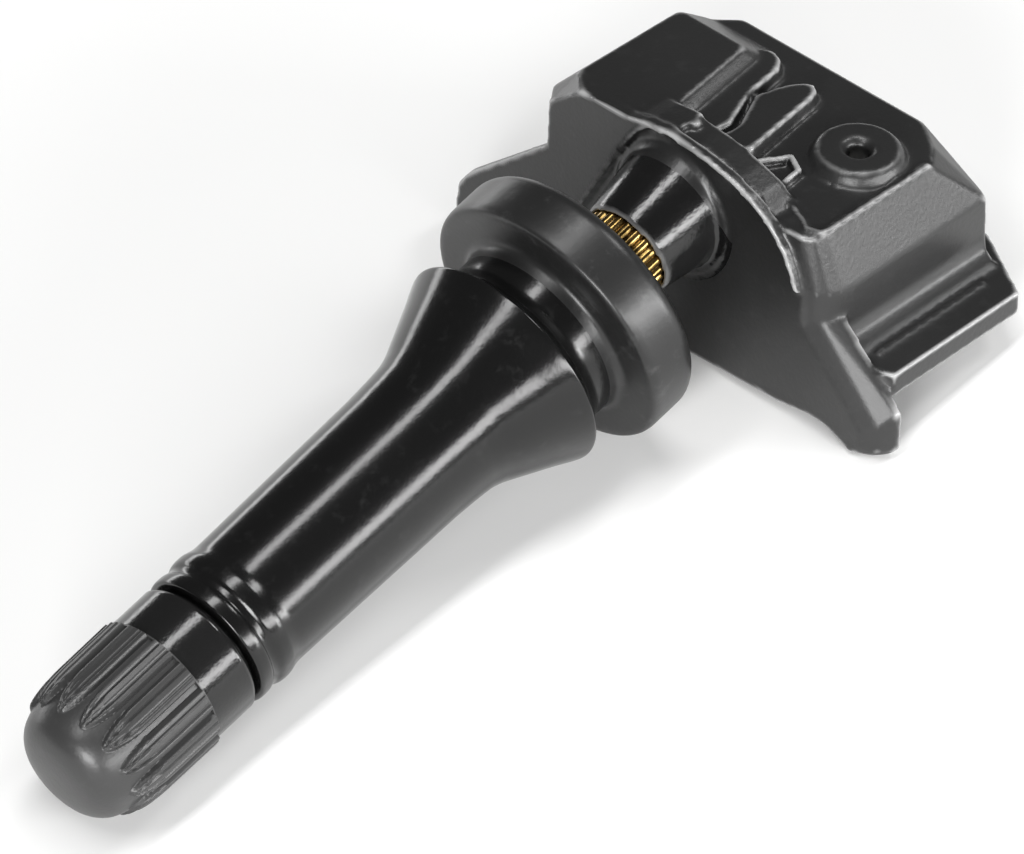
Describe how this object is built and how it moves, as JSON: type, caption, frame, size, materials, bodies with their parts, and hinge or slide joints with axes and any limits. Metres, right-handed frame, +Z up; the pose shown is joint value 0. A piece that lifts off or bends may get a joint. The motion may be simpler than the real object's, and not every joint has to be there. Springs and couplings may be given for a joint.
{
  "type": "tyre pressure sensor with snap-in valve",
  "caption": "Snap-in rubber tyre valve with a screw cap and sprung valve core, carrying a moulded pressure sensor housing with a ported top, brim and two feet.",
  "frame": {"origin": "on the floor below the middle of the whole part's box", "axes": "+X from the cap towards the sensor housing, +Y to the left seen from the cap, +Z up; the part lies on its cap and the housing's two feet"},
  "size_m": [0.0762, 0.0379, 0.0201],
  "materials": {
    "valve_rubber": "dark moulded rubber with a soft sheen",
    "stem_brass": "turned brass",
    "core_brass": "turned brass",
    "seal_white": "smooth white plastic",
    "spring_steel": "bright spring wire",
    "soft_rubber": "soft dark rubber",
    "cap_plastic": "black plastic, matt grip and smooth band",
    "housing_plastic": "glass-filled black plastic with a satin grain",
    "board_green": "green board lacquer",
    "cell_steel": "nickel-plated steel",
    "tab_nickel": "nickel strip",
    "chip_black": "moulded chip body",
    "seal_grey": "soft grey silicone",
    "membrane_white": "white breathable film",
    "ferrite": "dull black ferrite",
    "copper": "lacquered copper wire",
    "antenna_brass": "stamped strip",
    "capacitor_tan": "tan ceramic",
    "resin_black": "cast black resin"
  },
  "bodies": {
    "valve": {"valve_body": "valve_rubber", "valve_stem": "stem_brass", "core_plug": "core_brass", "core_barrel_seal": "seal_white", "core_spring": "spring_steel", "housing": "housing_plastic", "circuit_board": "board_green", "battery_cell": "cell_steel", "battery_tab_positive": "tab_nickel", "battery_tab_negative": "tab_nickel", "sensor_chip": "chip_black", "port_seal": "seal_grey", "port_membrane": "membrane_white", "coil_core": "ferrite", "coil_winding": "copper", "rf_antenna": "antenna_brass", "crystal": "tab_nickel", "capacitors": "capacitor_tan", "potting": "resin_black"},
    "pin": {"core_pin": "core_brass", "core_plunger": "core_brass", "core_poppet_seal": "soft_rubber"},
    "cap_seal": {"cap_gasket": "soft_rubber"},
    "cap": {"valve_cap": "cap_plastic"}
  },
  "joints": [
    {"name": "pin_press", "type": "slide", "parent": "valve", "child": "pin", "axis": [0.9932, 0, 0.1162], "range_m": [0, 0.0012], "stiffness_N_per_m": 900, "springref_m": -0.002, "deforming": ["core_spring"]},
    {"name": "cap_slide", "type": "slide", "parent": "valve", "child": "cap_seal", "axis": [-0.9932, 0, -0.1162], "range_m": [0, 0.01072]},
    {"name": "cap_turn", "type": "hinge", "parent": "cap_seal", "child": "cap", "pos_m": [-0.035, 0, 0.00511], "axis": [-0.9932, 0, -0.1162], "range_deg": [0, 4860]}
  ],
  "couplings": [
    {"joint": "cap_turn", "follows": "cap_slide", "rad_per_m": 7915.3}
  ]
}
